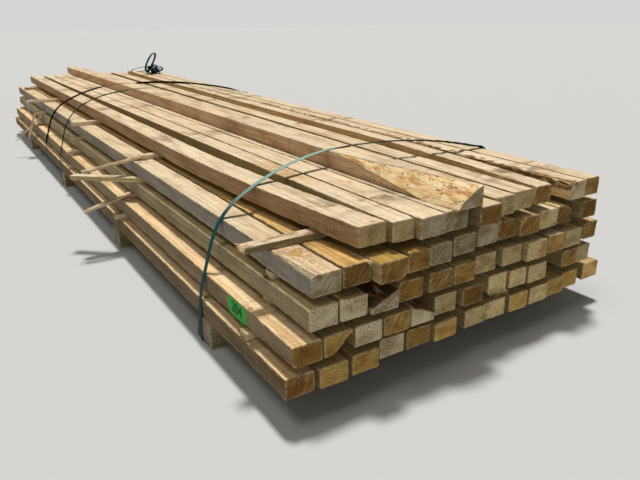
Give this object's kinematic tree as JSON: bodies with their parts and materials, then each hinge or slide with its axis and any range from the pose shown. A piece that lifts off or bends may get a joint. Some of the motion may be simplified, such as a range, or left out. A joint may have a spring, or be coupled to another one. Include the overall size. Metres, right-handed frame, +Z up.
{
  "type": "timber beam stack",
  "caption": "Stack of rough-sawn timber beams in layers with slats between them, on bearers and held by strapping.",
  "frame": {"origin": "bottom centre of the stack's bounding box, on the floor", "axes": "+Y along the beams, away from the near ends; +X across the stack to the right; +Z up"},
  "size_m": [1.7436, 6.215, 0.7663],
  "materials": {
    "sawn_timber": "rough sawn, weathered",
    "crooked_timber": "rough sawn, weathered",
    "waney_timber": "rough sawn with waney log surface",
    "bearer_timber": "rough sawn, dirty",
    "slat_timber": "rough sawn, pale",
    "green_strapping": "smooth",
    "black_strapping": "smooth",
    "green_tag": "matt",
    "film": "crumpled film"
  },
  "bodies": {
    "root": {"askew_slat": "slat_timber", "beams_layer_1": "sawn_timber", "beams_layer_2": "sawn_timber", "beams_layer_3": "sawn_timber", "beams_layer_4": "sawn_timber", "beams_layer_5": "sawn_timber", "bearers": "bearer_timber", "crooked_beam_left": "crooked_timber", "crooked_beam_right": "crooked_timber", "film_scrap": "film", "leaning_stick": "slat_timber", "number_tag": "green_tag", "slats_level_1": "slat_timber", "slats_level_2": "slat_timber", "slats_level_3": "slat_timber", "slats_level_4": "slat_timber", "spare_strapping": "green_strapping", "strap_far": "black_strapping", "strap_middle": "green_strapping", "strap_near": "green_strapping", "top_beam": "waney_timber"}
  },
  "joints": []
}
